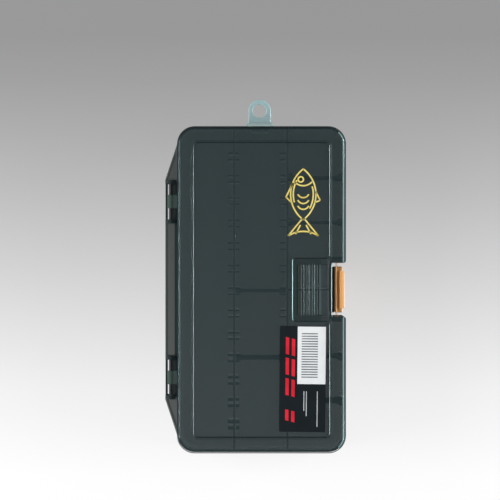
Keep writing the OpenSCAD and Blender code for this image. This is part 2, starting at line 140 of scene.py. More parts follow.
# How strongly rounded edges are marked, where not fully
PANEL_REAR_MARK = 0.55
PAD_BACK_MARK = 0.3
NO_MARK = 0.0

# Turns in degrees, at which faces count as flat, edges as sharp and normals as apart
FLAT_TURN = 0.4
SHARP = 28
LID_SHARP = 34
APART = 50

# Depths of plastic, in millimetres: where a measuring ray starts, the most that it finds,
# and what is given to faces for painted shade, which darkens and dulls them, for a dense
# dark look, which is painted shade too, and for a clear look
RAY_START = 0.004
DEEPEST = 40.0
IN_SHADE = 30.0
DENSE_SHADE = 12.0
CLEAR_EDGE = 0.5
CLEAR_RIDGE = 0.3
CLEAR_TRUNNION = 0.25
CLEAR_TONGUE = 0.2

# How far faces point up, as their normal's z: level ones, those that don't point down, the
# latch's nose, those of the lid's rounded edge, and on that edge the steep part, which takes
# painted shade, the strip along the front, which takes a painted highlight, and the clear part
LEVEL = 0.9
NOT_DOWN = -0.1
NOSE_UP = 0.2
EDGE_UP = (-0.01, 0.995)
STEEP_UP = 0.62
FRONT_STRIP_UP = (0.86, 0.95)
CLEAR_UP = 0.93
# Normals' y on the fronts and backs of the pad's ridges, the least y and z on an edge that
# takes a painted highlight, and the share of y that makes an edge one along the front
RIDGE_FRONT, RIDGE_BACK = -0.3, 0.15
TILTED = 0.25
FRONT_SHARE = 0.7

# How strong the painted highlights on the lid's edges are
HIGHLIGHT_FRAME = 1.0
HIGHLIGHT_FRONT_STRIP = 0.9
HIGHLIGHT_NOTCH = 0.6
HIGHLIGHT_FIRST_RIDGE = 0.6
HIGHLIGHT_RAMP_LINE = 0.42
HIGHLIGHT_RIDGES = 0.22
HIGHLIGHT_OTHERS = 0.12

# How far the pad's ridges take the frost finish, and the latch's nose ridge its painted shade
RIDGE_FROST = 0.3
NOSE_PAINTED_SHADE = 0.65


# ---- node helpers ----

def add_node(tree, kind, inputs=None, **settings):
    """A shader node with its settings, and its inputs set or linked."""
    node = tree.nodes.new("ShaderNode" + kind)
    for key, value in settings.items():
        setattr(node, key, value)
    for key, value in (inputs or {}).items():
        if isinstance(value, bpy.types.NodeSocket):
            tree.links.new(value, node.inputs[key])
        else:
            node.inputs[key].default_value = value
    return node


def calc(tree, operation, a, b=0.0, c=0.0, clamp=False):
    return add_node(tree, "Math", {0: a, 1: b, 2: c}, operation=operation,
                    use_clamp=clamp).outputs[0]


def blend_colours(tree, share, a, b):
    """Colour a, turning to b as share goes from 0 to 1."""
    mix = add_node(tree, "Mix", data_type="RGBA")
    for socket, value in ((mix.inputs[0], share), (mix.inputs[6], a), (mix.inputs[7], b)):
        if isinstance(value, bpy.types.NodeSocket):
            tree.links.new(value, socket)
        else:
            socket.default_value = value
    return mix.outputs[2]


def ramp(tree, value, low, high):
    """0 at low and 1 at high, with a smooth step between."""
    return add_node(tree, "MapRange", {0: value, 1: low, 2: high},
                    interpolation_type="SMOOTHSTEP").outputs[0]


def object_point(tree, scale=(1, 1, 1)):
    place = add_node(tree, "TexCoord").outputs["Object"]
    return add_node(tree, "Mapping", {"Vector": place, "Scale": scale}).outputs[0]


def noise(tree, place, scale, detail, **more):
    return add_node(tree, "TexNoise",
                    {"Vector": place, "Scale": scale, "Detail": detail, **more}).outputs[0]


def rgb(r, g, b):
    return (r, g, b, 1.0)


def from_screen(level):
    """A linear grey from one given in 0 to 255 on screen."""
    level /= 255
    linear = level / 12.92 if level <= 0.04045 else ((level + 0.055) / 1.055) ** 2.4
    return rgb(linear, linear, linear)


def new_group(name, inputs, outputs):
    """A node group with number sockets, its input node and its output node."""
    group = bpy.data.node_groups.new(name, "ShaderNodeTree")
    for label, start in inputs:
        socket = group.interface.new_socket(label, in_out="INPUT",
                                            socket_type="NodeSocketFloat")
        socket.default_value = start
    for label in outputs:
        group.interface.new_socket(label, in_out="OUTPUT", socket_type="NodeSocketFloat")
    return group, group.nodes.new("NodeGroupInput"), group.nodes.new("NodeGroupOutput")


# ---- shared effects ----

# Scales of the patterns, and the levels between which a mark comes in
PLASTIC_GRAIN = 2600.0
SCUFFING = 0.5
FLOW_SCALE = 45.0
SCUFFED_SCALE = 38.0
SCUFFED_LEVELS = (0.46, 0.66)
DUST_SCALE = 420.0
DUST_SIZE = (0.11, 0.06)
DUST_SHARE = (0.955, 0.96)
# Hairlines one way and the other: the noise's stretch, its turn in radians and its levels
HAIRLINES = (((900, 28, 200), 0.5, (0.64, 0.70)), ((34, 1000, 200), -0.35, (0.65, 0.71)))

PRINT_FIBRE = 1500.0
FIBRE_ROUGHNESS = 0.6
TONE_SCALE = 140.0
WORN_SCALE = 900.0
WORN_LEVELS = (0.66, 0.74)


def moulded_surface_group():
    """Moulded plastic: slow flow marks, fine grain for the bump, hairline scuffs and dust."""
    group, given, out = new_group(
        "moulded_surface",
        (("Shift", 0.0), ("Grain Scale", PLASTIC_GRAIN), ("Scuffing", SCUFFING)),
        ("Flow", "Grain", "Scuff", "Dust"))
    shift = add_node(group, "CombineXYZ",
                     {axis: given.outputs["Shift"] for axis in range(3)}).outputs[0]
    place = add_node(group, "VectorMath", {0: object_point(group), 1: shift}).outputs[0]
    hairs = []
    for scale, turn, levels in HAIRLINES:
        stretched = add_node(group, "Mapping", {"Vector": place, "Scale": scale,
                                                "Rotation": (0, 0, turn)}).outputs[0]
        hairs.append(ramp(group, noise(group, stretched, 1.0, detail=3.0), *levels))
    scuffed = ramp(group, noise(group, place, SCUFFED_SCALE, detail=2.0), *SCUFFED_LEVELS)
    scuffs = calc(group, "MULTIPLY", calc(group, "MAXIMUM", *hairs), scuffed)
    scuffs = calc(group, "MULTIPLY", scuffs, given.outputs["Scuffing"])
    specks = add_node(group, "TexVoronoi", {"Vector": place, "Scale": DUST_SCALE})
    near = ramp(group, specks.outputs["Distance"], *DUST_SIZE)
    chance = add_node(group, "SeparateColor", {0: specks.outputs["Color"]}).outputs[0]
    dust = calc(group, "MULTIPLY", near, ramp(group, chance, *DUST_SHARE))
    flow = noise(group, place, FLOW_SCALE, detail=3.0)
    grain = noise(group, place, given.outputs["Grain Scale"], detail=2.0)
    for name, socket in (("Flow", flow), ("Grain", grain), ("Scuff", scuffs),
                         ("Dust", dust)):
        group.links.new(socket, out.inputs[name])
    return group


def print_wear_group():
    """Ink or paper: fine fibres and tone, and worn specks."""
    group, given, out = new_group("print_wear", (("Fibre Scale", PRINT_FIBRE),),
                                  ("Fibre", "Tone", "Worn"))
    place = object_point(group)
    fibre = noise(group, place, given.outputs["Fibre Scale"], detail=5.0,
                  Roughness=FIBRE_ROUGHNESS)
    tone = noise(group, place, TONE_SCALE, detail=2.0)
    worn = ramp(group, noise(group, place, WORN_SCALE, detail=3.0), *WORN_LEVELS)
    for name, socket in (("Fibre", fibre), ("Tone", tone), ("Worn", worn)):
        group.links.new(socket, out.inputs[name])
    return group


MOULDED = moulded_surface_group()
PRINTED = print_wear_group()


# ---- materials ----

# Plastic: what counts as thin and thick, and where painted shade starts and is full, in
# millimetres
THIN_TO_THICK = (2.0, 9.0)
SHADE_FROM_TO = (15.0, 20.0)
# What painted shade, frost with its painted light, and scuffs add to the roughness
SHADE_DULLS, FROST_DULLS, SCUFF_DULLS = 0.85, 0.4, 0.2
# How much frost with its painted light hides an edge's colour, and how much flow marks,
# scuffs and dust show
FROST_AND_PAINT_HIDE_EDGE = 0.8
FLOW_SHOWS, SCUFF_SHOWS, DUST_SHOWS = 0.04, 0.06, 0.2
MARKS_COVER = 0.4
MARKS_COLOUR = rgb(0.6, 0.62, 0.62)
# Colour of the painted highlights on the lid's edges
PAINTED_HIGHLIGHT_COLOUR = rgb(0.25, 0.41, 0.40)
PLASTIC_IOR = 1.65

# Steel, brushed along X
BRUSHED_SCALE = (60, 3000, 3000)
BRUSHED_DULLS = 0.3
STEEL_ROUGHNESS = 0.35
STEEL_METALLIC = 0.6
STEEL_BLACK, STEEL_RUBBED = rgb(0.012, 0.013, 0.015), rgb(0.03, 0.03, 0.032)
RUBBED_SCALE = 400.0
RUBBED_LEVELS = (0.5, 0.75)

# Prints
TONE_LEVELS = (0.3, 0.75)
WORN_SHOWS = 0.35
FIBRE_DULLS = 0.2

# Strength and distance of the bumps; a print's strength is its own
GRAIN_BUMP = (0.015, 0.05 * MM)
BRUSHED_BUMP = (0.2, 0.02 * MM)
PRINT_BUMP_DISTANCE = 0.02 * MM


def new_material(name):
    material = bpy.data.materials.new(name)
    material.use_nodes = True
    tree = material.node_tree
    return material, tree, tree.nodes["Principled BSDF"]


def place_group(tree, group, **values):
    """The group's node. An underscore in the name of an input stands for a space."""
    node = tree.nodes.new("ShaderNodeGroup")
    node.node_tree = group
    for key, value in values.items():
        node.inputs[key.replace("_", " ")].default_value = value
    return node


def set_bump(tree, shader, height, strength, distance):
    bump = add_node(tree, "Bump", {"Height": height, "Strength": strength,
                                   "Distance": distance})
    tree.links.new(bump.outputs[0], shader.inputs["Normal"])


def translucent_plastic(name, thin, thick, edge, frost_and_painted_colour, clear_mm, most, roughness, tint,
                        grain=PLASTIC_GRAIN, shift=0.0, gloss=0.8):
    """Tinted plastic that is clearer where it is thin.

    The mesh's attribute depth_and_painted_shade holds the thickness behind each face, in
    millimetres, measured except where a piece gives its own, which on some faces is painted
    shade.
    moulded_edge marks its rounded edges, painted_highlight holds the painted highlight on its
    edges, and frosted marks its textured faces, which take the frost colour, and on some
    pieces painted shade and painted highlights. A thickness past SHADE_FROM_TO is painted
    shade, which dulls a face.
    clear_mm is the thickness that lets 37% of the light through one face, and most is the
    largest share that a face stops."""
    material, tree, shader = new_material(name)
    surface = place_group(tree, MOULDED, Shift=shift, Grain_Scale=grain, Scuffing=SCUFFING)
    depth_and_shade, rim, frost_and_painted_light, highlight_share = [
        add_node(tree, "Attribute", attribute_name=attribute).outputs["Fac"]
        for attribute in ("depth_and_painted_shade", "moulded_edge", "frost_and_painted_light", "painted_highlight")]
    # Thicker plastic is darker, and so are faces given painted shade as a made-up thickness
    body = blend_colours(tree, ramp(tree, depth_and_shade, *THIN_TO_THICK), rgb(*thin), rgb(*thick))
    # Textured faces take their frost colour, which on the latch is painted shade and on the
    # tab's foot a painted highlight
    body = blend_colours(tree, frost_and_painted_light, body, rgb(*frost_and_painted_colour))
    tone = calc(tree, "MULTIPLY_ADD", surface.outputs["Flow"], FLOW_SHOWS, 1 - FLOW_SHOWS / 2)
    body = add_node(tree, "VectorMath", {0: body, "Scale": tone}, operation="SCALE").outputs[0]
    plain = calc(tree, "MULTIPLY_ADD", frost_and_painted_light, -FROST_AND_PAINT_HIDE_EDGE, 1.0)
    # Rounded edges take the edge colour, which on the smoke plastics is partly painted shade
    body = blend_colours(tree, calc(tree, "MULTIPLY", rim, plain), body, rgb(*edge))
    # Painted highlights along the lid's edges
    body = blend_colours(tree, highlight_share, body, PAINTED_HIGHLIGHT_COLOUR)
    marks = calc(tree, "MAXIMUM",
                 calc(tree, "MULTIPLY", surface.outputs["Scuff"], SCUFF_SHOWS),
                 calc(tree, "MULTIPLY", surface.outputs["Dust"], DUST_SHOWS))
    body = blend_colours(tree, marks, body, MARKS_COLOUR)
    tree.links.new(body, shader.inputs["Base Color"])
    passed = calc(tree, "EXPONENT", calc(tree, "DIVIDE", depth_and_shade, -clear_mm))
    alpha = calc(tree, "MINIMUM", calc(tree, "SUBTRACT", 1.0, passed), most)
    alpha = calc(tree, "MAXIMUM", alpha, calc(tree, "MULTIPLY", rim, most))
    alpha = calc(tree, "ADD", alpha, calc(tree, "MULTIPLY", marks, MARKS_COVER), clamp=True)
    tree.links.new(alpha, shader.inputs["Alpha"])
    rough = calc(tree, "MULTIPLY_ADD", surface.outputs["Scuff"], SCUFF_DULLS, roughness)
    rough = calc(tree, "MULTIPLY_ADD", frost_and_painted_light, FROST_DULLS, rough)
    rough = calc(tree, "MULTIPLY_ADD", ramp(tree, depth_and_shade, *SHADE_FROM_TO), SHADE_DULLS, rough,
                 clamp=True)
    tree.links.new(rough, shader.inputs["Roughness"])
    shader.inputs["Specular Tint"].default_value = rgb(*tint)
    shader.inputs["Specular IOR Level"].default_value = gloss
    shader.inputs["IOR"].default_value = PLASTIC_IOR
    set_bump(tree, shader, surface.outputs["Grain"], *GRAIN_BUMP)
    return material


def steel_material():
    """Blackened steel, brushed lengthways and rubbed a little paler in places."""
    material, tree, shader = new_material("blackened_steel")
    brushed = noise(tree, object_point(tree, BRUSHED_SCALE), 1.0, detail=3.0)
    rubbed = noise(tree, object_point(tree), RUBBED_SCALE, detail=3.0)
    colour = blend_colours(tree, ramp(tree, rubbed, *RUBBED_LEVELS), STEEL_BLACK,
                           STEEL_RUBBED)
    tree.links.new(colour, shader.inputs["Base Color"])
    rough = calc(tree, "MULTIPLY_ADD", brushed, BRUSHED_DULLS, STEEL_ROUGHNESS)
    tree.links.new(rough, shader.inputs["Roughness"])
    shader.inputs["Metallic"].default_value = STEEL_METALLIC
    set_bump(tree, shader, brushed, *BRUSHED_BUMP)
    return material


def printed_material(name, colour, dark, roughness, fibre=PRINT_FIBRE, bump=0.05):
    """Ink, film or paper, darker in soft patches and where it is worn."""
    material, tree, shader = new_material(name)
    ink = place_group(tree, PRINTED, Fibre_Scale=fibre)
    mixed = blend_colours(tree, ramp(tree, ink.outputs["Tone"], *TONE_LEVELS),
                          rgb(*colour), rgb(*dark))
    mixed = blend_colours(tree, calc(tree, "MULTIPLY", ink.outputs["Worn"], WORN_SHOWS), mixed,
                          rgb(*dark))
    tree.links.new(mixed, shader.inputs["Base Color"])
    rough = calc(tree, "MULTIPLY_ADD", ink.outputs["Fibre"], FIBRE_DULLS,
                 roughness - FIBRE_DULLS / 2)
    tree.links.new(rough, shader.inputs["Roughness"])
    set_bump(tree, shader, ink.outputs["Fibre"], bump, PRINT_BUMP_DISTANCE)
    return material


# The edge colour is the rounded edges': on the smoke plastics it is darker than the body,
# partly for the long path through the plastic at an edge and partly painted shade that draws
# dark lines along the edges; on the amber and clear plastics it is paler. The frost colour is
# that of the lid's less polished knuckles and ridges and of the tray's textured floors, while
# on the amber it is painted shade on the latch's nose and on the clear plastic a painted
# highlight on the tab's foot.
LID_SMOKE = translucent_plastic(
    "smoke_lid", thin=(0.0405, 0.0675, 0.0735), thick=(0.013, 0.021, 0.024),
    edge=(0.008, 0.014, 0.016), frost_and_painted_colour=(0.034, 0.050, 0.040), clear_mm=4.2, most=0.97,
    roughness=0.09, tint=(0.70, 0.96, 1.0))
TRAY_SMOKE = translucent_plastic(
    "smoke_tray", thin=(0.060, 0.070, 0.066), thick=(0.008, 0.013, 0.015),
    edge=(0.014, 0.020, 0.021), frost_and_painted_colour=(0.125, 0.170, 0.158), clear_mm=1.15, most=0.97,
    roughness=0.14, tint=(0.82, 1.0, 1.0), grain=1700.0, shift=0.37, gloss=0.5)
AMBER = translucent_plastic(
    "amber_plastic", thin=(0.74, 0.36, 0.11), thick=(0.56, 0.24, 0.06),
    edge=(0.84, 0.48, 0.17), frost_and_painted_colour=(0.12, 0.055, 0.03), clear_mm=0.8, most=0.94,
    roughness=0.25, tint=(1.0, 0.9, 0.75))
CLEAR = translucent_plastic(
    "clear_plastic", thin=(0.42, 0.68, 0.72), thick=(0.34, 0.56, 0.58),
    edge=(0.50, 0.78, 0.80), frost_and_painted_colour=(0.66, 0.86, 0.82), clear_mm=3.0, most=0.8,
    roughness=0.1, tint=(0.85, 1.0, 1.0))
STEEL = steel_material()
FILM = printed_material("label_film", colour=(0.0065, 0.013, 0.017),
                        dark=(0.005, 0.009, 0.012), roughness=0.32)
PAPER = printed_material("write_on_panel", colour=(0.93, 0.96, 0.97), dark=(0.87, 0.90, 0.92),
                         roughness=0.6, fibre=2200.0, bump=0.2)
GREY_INK = printed_material("grey_ink", colour=(0.16, 0.17, 0.18), dark=(0.10, 0.11, 0.12),
                            roughness=0.5)
RED_INK = printed_material("red_ink", colour=(0.86, 0.018, 0.042), dark=(0.66, 0.012, 0.030),
                           roughness=0.4)
PALE_INK = printed_material("pale_ink", colour=(0.62, 0.64, 0.66), dark=(0.45, 0.47, 0.5),
                            roughness=0.45)
GOLD_INK = printed_material("gold_ink", colour=(1.0, 0.85, 0.26), dark=(0.95, 0.74, 0.17),
                            roughness=0.4)


# ---- mesh helpers ----

def merged_copy(node, seams_x=(), seams_y=()):
    """The CAD node's shape, merged, with its flat faces made whole between the seams.

    A flat face that runs round an opening can't be one polygon, so seams divide it."""
    bm = bmesh.new()
    bm.from_mesh(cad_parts[node].data)
    bmesh.ops.remove_doubles(bm, verts=bm.verts[:], dist=MERGED)
    planes = ([((x, 0, 0), (1, 0, 0)) for x in seams_x]
              + [((0, y, 0), (0, 1, 0)) for y in seams_y])
    for place, normal in planes:
        cut = bmesh.ops.bisect_plane(bm, geom=bm.verts[:] + bm.edges[:] + bm.faces[:],
                                     dist=ON_CUT, plane_co=place, plane_no=normal)
        for part in cut["geom_cut"]:
            if isinstance(part, bmesh.types.BMEdge):
                part.seam = True
    bmesh.ops.dissolve_limit(bm, angle_limit=math.radians(FLAT_TURN), verts=bm.verts[:],
                             edges=bm.edges[:], use_dissolve_boundaries=False,
                             delimit={"SEAM"})
    return bm


def sharp_edges(bm, least=SHARP):
    """Outer edges that turn by more than least degrees."""
    limit = math.radians(least)
    return [e for e in bm.edges if e.is_manifold and e.calc_face_angle_signed(0) > limit]


def still_there(edges):
    """The edges that an earlier rounding has left."""
    return [e for e in edges if e.is_valid]


def round_edges(bm, edges, radius, segments=2, mark=1.0):
    """Rounds the edges and marks their new faces for the plastic's material."""
    layer = bm.faces.layers.float.get("moulded_edge")
    if layer is None:
        layer = bm.faces.layers.float.new("moulded_edge")
    for edge in edges:
        edge.tag = True
    made = bmesh.ops.bevel(bm, geom=[e for e in bm.edges if e.tag], offset=radius,
                           offset_type="OFFSET", affect="EDGES", segments=segments,
                           profile=0.5, material=-1, clamp_overlap=False)
    for face in made["faces"]:
        face[layer] = mark
    for edge in bm.edges:
        edge.tag = False


def measured_depth(tree, face, triangles):
    """The least thickness, in millimetres, behind the face's four largest triangles."""
    least = DEEPEST
    for corners in sorted(triangles, key=lambda t: area_tri(*t))[-4:]:
        spot = (corners[0] + corners[1] + corners[2]) / 3
        distance = tree.ray_cast(spot - face.normal * RAY_START * MM, -face.normal)[3]
        if distance is not None:
            least = min(least, distance / MM)
    return least


def mark_plastic(bm, frost_and_painted_light=None, set_depth_and_shade=None, highlight_strength=None):
    """Stores what the plastic's material reads on each face.

    frosted says how textured a face is, and on the latch how much painted shade and on the tab
    how much painted highlight it takes, glow how strong its painted highlight is, both from 0
    to 1, and set_depth_and_shade gives the thickness, in millimetres, of a face that isn't
    taken as measured, which on some faces is painted shade."""
    bm.normal_update()
    depth_and_shade_layer = bm.faces.layers.float.new("depth_and_painted_shade")
    frost_and_paint_layer = bm.faces.layers.float.new("frost_and_painted_light")
    highlight_layer = bm.faces.layers.float.new("painted_highlight")
    tree = BVHTree.FromBMesh(bm)
    triangles = {}
    for loops in bm.calc_loop_triangles():
        triangles.setdefault(loops[0].face.index, []).append([loop.vert.co for loop in loops])
    for face in bm.faces:
        depth_and_shade = set_depth_and_shade(face) if set_depth_and_shade else None
        if depth_and_shade is None:
            depth_and_shade = measured_depth(tree, face, triangles[face.index])
        face[depth_and_shade_layer] = depth_and_shade
        face[frost_and_paint_layer] = frost_and_painted_light(face) if frost_and_painted_light else 0.0
        face[highlight_layer] = highlight_strength(face) if highlight_strength else 0.0


def set_corner_normals(mesh):
    """Each face corner takes the mean normal, by area, of the faces round it that turn from
    its own by less than APART, so that flat faces stay flat beside round edges."""
    limit = math.cos(math.radians(APART))
    around = [[] for _ in mesh.vertices]
    for face in mesh.polygons:
        for vertex in face.vertices:
            around[vertex].append((face.normal.copy(), face.area / MM ** 2))
    normals = []
    for face in mesh.polygons:
        for vertex in face.vertices:
            total = Vector()
            for normal, area in around[vertex]:
                if normal.dot(face.normal) > limit:
                    total += normal * area
            normals.append(total.normalized())
    mesh.normals_split_custom_set(normals)


def add_piece(name, bm, material, body, nodes=()):
    """A finished piece on its body and the CAD nodes that it stands for."""
    mesh = bpy.data.meshes.new(name)
    bm.to_mesh(mesh)
    bm.free()
    mesh.materials.append(material)
    mesh.shade_smooth()
    set_corner_normals(mesh)
    piece = bpy.data.objects.new(name, mesh)
    bpy.context.scene.collection.objects.link(piece)
    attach(piece, body)
    if nodes:
        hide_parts(*nodes)


# ---- the tray ----

def tray_frost(face):
    """The floors of the compartments are textured."""
    on_floor = face.normal.z > LEVEL and face.calc_center_median().z < FLOOR_TOP_Z + NEAR
    return 1.0 if on_floor else 0.0


def tray_painted_shade(face):
    """The ledges under the knuckles, the ears and the shelf beside the lid are given painted
    shade.
    """
    middle = face.calc_center_median()
    if middle.y < SHELF_Y0 - FAIRLY_NEAR or middle.z < SKIRT_Z0:
        return None
    beside_lid = middle.y < SHADE_Y and face.normal.z > LEVEL
    at_hinge = abs(abs(middle.x) - HINGE_X) < HINGE_REACH and face.normal.z > NOT_DOWN
    return IN_SHADE if beside_lid or at_hinge else None


def inside_tray(edge):
    """On the rim, within the compartments, or behind them above the skirt's lower edge."""
    middle = (edge.verts[0].co + edge.verts[1].co) / 2
    if abs(middle.z - RIM_Z) < NEAR:
        return True
    in_box = (abs(middle.x) < INNER_X and INNER_Y0 < middle.y < INNER_Y1
              and middle.z > FLOOR_TOP_Z)
    return in_box or middle.y > SHELF_Y0 and middle.z > SKIRT_Z0


def build_tray():
    bm = merged_copy("base_tray", (-HINGE_X, 0, HINGE_X), (SHADE_Y,))
    edges = sharp_edges(bm)
    fine = [e for e in edges if inside_tray(e)]
    broad = [e for e in edges if not inside_tray(e)]
    round_edges(bm, broad, TRAY_EDGE_R)
    round_edges(bm, still_there(fine), HIDDEN_EDGE_R, segments=1, mark=NO_MARK)
    mark_plastic(bm, tray_frost, tray_painted_shade)
    add_piece("compartment_tray", bm, TRAY_SMOKE, "base", ["base_tray"])


# ---- the lid ----

def on_outer_edge(face):
    """On the rounded edge round the lid's roof."""
    middle = face.calc_center_median()
    off_corner = (max(abs(middle.x) - LID_END_X + CORNER_R, 0),
                  max(abs(middle.y - LID_MIDDLE_Y) - LID_HALF_Y + CORNER_R, 0))
    inset = CORNER_R - math.hypot(*off_corner)
    return (middle.z > ROOF_Z - OUTER_EDGE_R and inset < OUTER_EDGE_R
            and EDGE_UP[0] < face.normal.z < EDGE_UP[1])


def along_front(face):
    """Faces the front more than the ends."""
    return face.normal.y < -FRONT_SHARE * math.hypot(face.normal.x, face.normal.y)


def among_ridges(place):
    return abs(place.x) < PAD_X and RIDGES_Y0 < place.y < PAD_BACK_Y and place.z > PAD_Z0


def on_panel_edge(vertex):
    """On the step round the sunk panel, and not on the edges of the thumb pad or notch."""
    place = vertex.co
    beside_pad = abs(place.x) < PAD_X + NEAR and place.y < PAD_BACK_Y + NEAR
    return (abs(place.z - ROOF_Z) < TOUCHING and place.y > NOTCH_Y + NOTCH_BAND
            and not beside_pad)


def on_notch_edge(vertex):
    """On the pad's front edge, above the notch."""
    place = vertex.co
    return (abs(place.y - NOTCH_Y) < FAIRLY_NEAR and abs(place.x) < PAD_X + NEAR
            and place.z > PAD_Z0)


def on_pad_back(vertex):
    """On the pad's back edge."""
    place = vertex.co
    return (abs(place.y - PAD_BACK_Y) < NEAR and abs(place.x) < PAD_X + NEAR
            and place.z > PAD_Z0)


def lid_depth_and_painted_shade(face):
    """The knuckles and the keeper rib are given painted shade. Round the roof, the edge's
    steep part is dense, painted shade that darkens it, and along the front the rest is in
    painted shade and then dense, and elsewhere clear. The pad's grooves are dense, painted
    shade in them, and the fronts of its ridges clear."""
    middle, up = face.calc_center_median(), face.normal.z
    if middle.y > KNUCKLE_Y0:
        return IN_SHADE
    if middle.y < NOTCH_Y and abs(middle.x) < KEEPER_X and middle.z < KEEPER_Z1:
        return IN_SHADE
    if on_outer_edge(face):
        if up < STEEP_UP:
            return DENSE_SHADE
        if along_front(face):
            low, high = FRONT_STRIP_UP
            return IN_SHADE if up < low else DENSE_SHADE if up < high else None
        return CLEAR_EDGE if up < CLEAR_UP else None
    if among_ridges(middle):
        if up > LEVEL and face.calc_area() > GROOVE_AREA:
            return DENSE_SHADE
        return CLEAR_RIDGE if face.normal.y < RIDGE_FRONT else None
    return None


def lid_frost(face):
    """The knuckles and the finger ridges are less polished."""
    middle = face.calc_center_median()
    if middle.y > KNUCKLE_Y0:
        return 1.0
    return RIDGE_FROST if among_ridges(middle) else 0.0


def lid_painted_highlight(face):
    """Painted highlights go on the edges along the case, strongest on the pad's frame and the
    strip along the front."""
    middle, facing = face.calc_center_median(), face.normal
    if middle.z < PAD_Z0:
        return 0.0
    if on_outer_edge(face):
        low, high = FRONT_STRIP_UP
        return HIGHLIGHT_FRONT_STRIP if along_front(face) and low <= facing.z < high else 0.0
    if among_ridges(middle):
        # The first ridge lies in the frame's shadow and takes a stronger painted highlight
        first = middle.y > PAD_BACK_Y - PAD_SHADOW
        if facing.y < RIDGE_BACK:
            return 0.0
        return HIGHLIGHT_FIRST_RIDGE if first else HIGHLIGHT_RIDGES
    if abs(middle.x) < PAD_X and RIDGES_Y0 - RAMP_LINE < middle.y < RIDGES_Y0:
        return HIGHLIGHT_RAMP_LINE if facing.z > LEVEL else 0.0
    if abs(facing.y) < TILTED or facing.z < TILTED:
        return 0.0
    off_frame = abs(middle.y - FRAME_Y)
    if abs(middle.x) < FRAME_X and off_frame < FRAME_BAND:
        return HIGHLIGHT_FRAME
    if abs(middle.x) < NOTCH_X and abs(middle.y - NOTCH_Y) < NOTCH_BAND:
        return HIGHLIGHT_NOTCH
    elsewhere = off_frame > PAST_BAND and middle.y > NOTCH_Y + PAST_BAND
    return HIGHLIGHT_OTHERS if elsewhere else 0.0


def build_lid():
    bm = merged_copy("lid", (-HINGE_X, HINGE_X), (RIDGES_Y0 - RAMP_LINE,))
    round_edges(bm, [e for e in sharp_edges(bm) if all(map(on_panel_edge, e.verts))],
                PANEL_EDGE_R, segments=4)
    round_edges(bm, [e for e in sharp_edges(bm, LID_SHARP)
                     if all(map(on_notch_edge, e.verts))], NOTCH_EDGE_R, segments=3)
    edges = sharp_edges(bm, LID_SHARP)
    back = [e for e in edges if all(map(on_pad_back, e.verts))]
    low = [e for e in edges if max(v.co.z for v in e.verts) < LOW_Z]
    round_edges(bm, [e for e in edges if e not in back and e not in low], LID_EDGE_R)
    round_edges(bm, still_there(back), PAD_BACK_R, mark=PAD_BACK_MARK)
    round_edges(bm, still_there(low), HIDDEN_EDGE_R, segments=1, mark=NO_MARK)
    layer = bm.faces.layers.float["moulded_edge"]
    for face in bm.faces:
        middle = face.calc_center_median()
        if face[layer] == 1 and middle.y > PANEL_REAR_Y and middle.z > PAD_Z0:
            face[layer] = PANEL_REAR_MARK
    mark_plastic(bm, lid_frost, lid_depth_and_painted_shade, lid_painted_highlight)
    add_piece("case_lid", bm, LID_SMOKE, "lid", ["lid"])


# ---- the small pieces ----

def latch_painted_shade(face):
    """The nose's ridge, and more so the groove between it and the pull lip, take painted
    shade.
    """
    middle = face.calc_center_median()
    if face.normal.z < NOSE_UP or middle.z < NOSE_Z0:
        return 0.0
    if middle.y > LATCH_RIDGE_Y:
        return NOSE_PAINTED_SHADE
    return 1.0 if middle.y > LATCH_LIP_Y else 0.0


def latch_depth(face):
    """The trunnions are thin and clear."""
    return CLEAR_TRUNNION if abs(face.calc_center_median().x) > LATCH_X else None


def tab_painted_highlight(face):
    """The tab's foot takes a pale painted highlight."""
    on_foot = LID_END_X - NEAR < face.calc_center_median().x < TAB_FOOT_X
    return 1.0 if on_foot else 0.0


def tab_depth(face):
    """The tongue, in its dark slot, is clear."""
    return CLEAR_TONGUE if face.calc_center_median().x < LID_END_X - NEAR else None


def build_small(node, name, material, body, radius, segments=2, frost_and_painted_light=None,
                set_depth_and_shade=None):
    bm = merged_copy(node)
    round_edges(bm, sharp_edges(bm), radius, segments)
    mark_plastic(bm, frost_and_painted_light, set_depth_and_shade)
    add_piece(name, bm, material, body, [node])


# ---- the label ----

LABEL_LOW, LABEL_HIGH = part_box("label")
LABEL_MIDDLE = (LABEL_LOW + LABEL_HIGH) / 2
LABEL_TURN = math.radians(-0.6)
LABEL_CORNER_R = 0.5 * MM

# The label's prints, in millimetres. X counts back from its end at the hanging tab and Y up
# from its front edge, except that the bars' rows count down from its rear edge and the
# lines start from its other end.
INK_SINKS, INK_STANDS = 0.03, 0.02
WHITE_X, WHITE_Y = (32.9, 0.3), (0.1, 16.1)
RULES_X, RULES_Y = 4.0, (4.6, 13.8)
RULE_COUNT, RULE_PITCH, RULE_W = 18, 1.45, 0.6
RULE_SINKS, RULE_STANDS = 0.01, 0.015
# Each bar's far end and length
BARS = ((15.0, 9.6), (26.6, 9.6), (38.2, 9.6), (52.6, 6.2))
BAR_ROWS, BAR_W, BAR_SLANT = (8.7, 5.3), 1.9, 0.25
# Each line's Y and how much later it starts
LINES = ((4.4, 0.0), (10.6, 6.0), (12.0, 9.0))
LINES_START, LINES_X, LINE_W = 3.0, 37.0, 0.5


def plate(bm, low, high):
    """A flat plate between two corners, in millimetres."""
    size = [high[i] - low[i] for i in range(3)]
    middle = [(high[i] + low[i]) / 2 for i in range(3)]
    bmesh.ops.create_cube(bm, size=1.0, matrix=Matrix.Translation(Vector(middle) * MM)
                          @ Matrix.Diagonal([s * MM for s in size] + [1.0]))


